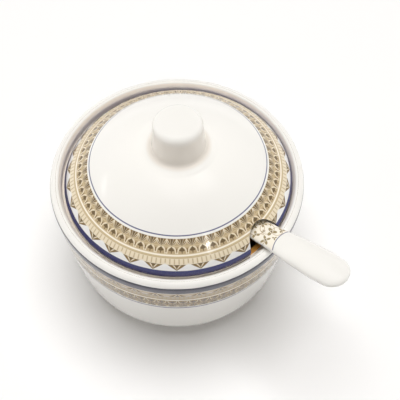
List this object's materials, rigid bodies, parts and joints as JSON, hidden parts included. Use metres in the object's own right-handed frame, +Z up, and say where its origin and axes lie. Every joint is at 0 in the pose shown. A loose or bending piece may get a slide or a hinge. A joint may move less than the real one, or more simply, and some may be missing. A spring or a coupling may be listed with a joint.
{
  "type": "salt pot",
  "caption": "Round glazed ceramic salt pot with a domed, knobbed lid seated inside its rim and a spoon whose handle comes out through a notch in the lid.",
  "frame": {"origin": "on the pot's axis, at the table that its foot ring stands on", "axes": "+Z up along the pot's axis; the picture was taken from the -Y side with +X to the right; the spoon points out between +X and -Y"},
  "size_m": [0.1222, 0.1154, 0.1014],
  "materials": {
    "pot": "clear gloss glaze over a printed border",
    "lid": "clear gloss glaze over a printed border",
    "spoon": "clear gloss glaze over printed sprigs"
  },
  "bodies": {
    "pot": {"pot": "pot"},
    "spoon": {"spoon": "spoon"},
    "lid": {"lid": "lid"}
  },
  "joints": [
    {"name": "spoon_lift", "type": "slide", "parent": "pot", "child": "spoon", "axis": [0, 0, 1], "range_m": [0, 0.072]},
    {"name": "lid_lift", "type": "slide", "parent": "spoon", "child": "lid", "axis": [0, 0, 1], "range_m": [0, 0.06]}
  ]
}
